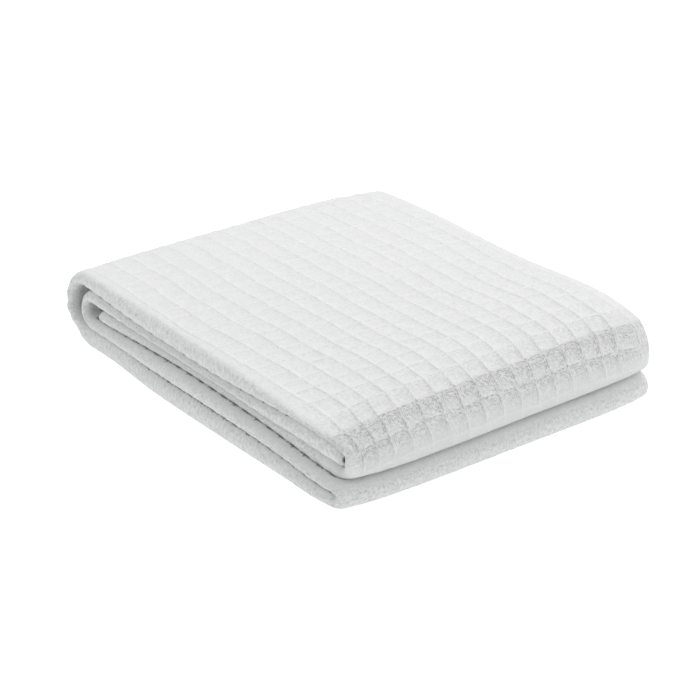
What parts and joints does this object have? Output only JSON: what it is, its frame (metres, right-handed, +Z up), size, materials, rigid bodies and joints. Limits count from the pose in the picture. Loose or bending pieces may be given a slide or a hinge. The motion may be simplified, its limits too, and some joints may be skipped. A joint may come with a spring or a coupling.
{
  "type": "waffle weave cotton blanket, folded",
  "caption": "White waffle weave cotton blanket, folded in half twice across and then back and forth into a flat, soft-edged stack.",
  "frame": {"origin": "middle of the folded stack's outline, on the surface that it lies on", "axes": "+X runs across the folded strip, from its soft spine to its hems; +Y runs along the strip, from the near folds to the far fold; +Z is up"},
  "size_m": [0.3332, 0.4168, 0.0722],
  "materials": {
    "cotton": "white waffle weave cotton, matt"
  },
  "bodies": {
    "root": {"blanket": "cotton"}
  },
  "joints": []
}
